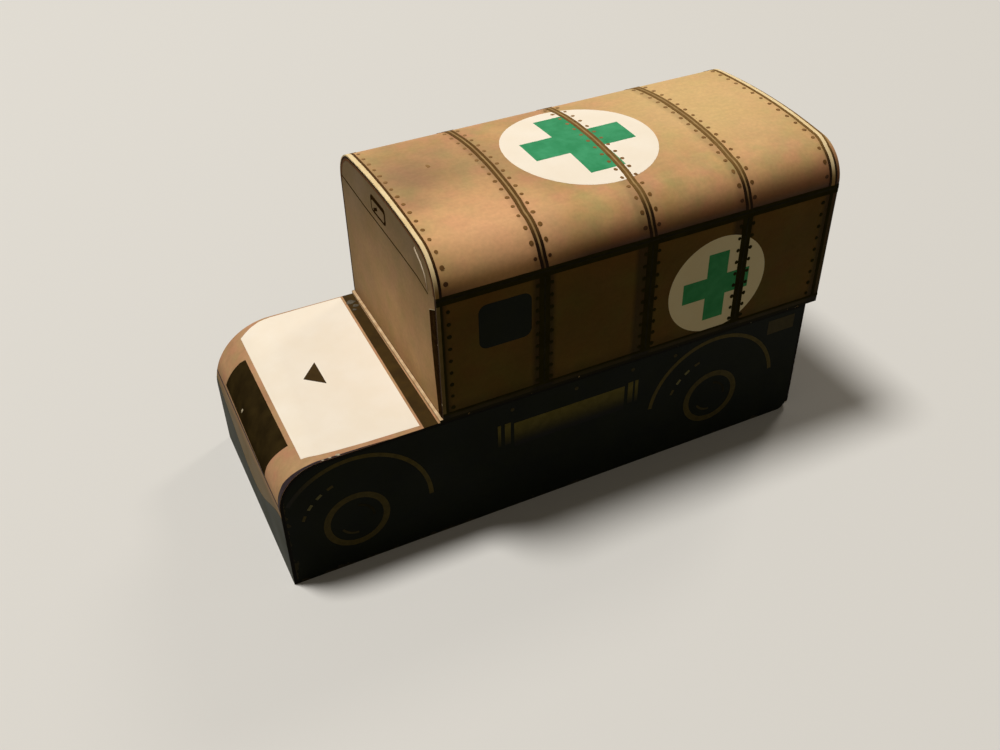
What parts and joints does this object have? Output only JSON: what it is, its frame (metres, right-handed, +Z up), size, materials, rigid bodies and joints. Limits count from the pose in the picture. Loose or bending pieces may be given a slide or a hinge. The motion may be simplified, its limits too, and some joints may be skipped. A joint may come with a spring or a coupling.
{
  "type": "folded card model of a military ambulance lorry",
  "caption": "Small folded card model of a military ambulance lorry: an open-bottomed chassis box with a rolled nose carries a closed body box with an arched roof.",
  "frame": {"origin": "on the surface that the model stands on, under the middle of its overall length and width", "axes": "+Z up, the front faces -Y, and +X is the vehicle's own left side"},
  "size_m": [0.0226, 0.0558, 0.0305],
  "materials": {
    "chassis_print": "Near-black printed card with wheel rings and arch lines",
    "bonnet_print": "Printed card: tan nose, white bonnet panel, black grille",
    "body_print": "Printed card: olive brown body sides with rivet lines",
    "roof_print": "Printed card: mottled tan roof with double rib lines",
    "plate_print": "Printed card: plain brown end plates with a dark outline",
    "bare_card": "Unprinted warm white card, matt"
  },
  "bodies": {
    "root": {"chassis_side_left": "chassis_print", "chassis_side_right": "chassis_print", "bonnet_strip": "bonnet_print", "chassis_rear_panel": "chassis_print", "bonnet_tab_left": "bare_card", "bonnet_tab_right": "bare_card", "rear_corner_tab_left": "bare_card", "rear_corner_tab_right": "bare_card", "rear_deck_tab": "bare_card", "body_floor": "bare_card", "body_side_left": "body_print", "body_side_right": "body_print", "roof_wrap": "roof_print", "body_front_plate": "plate_print", "body_rear_plate": "plate_print"}
  },
  "joints": []
}
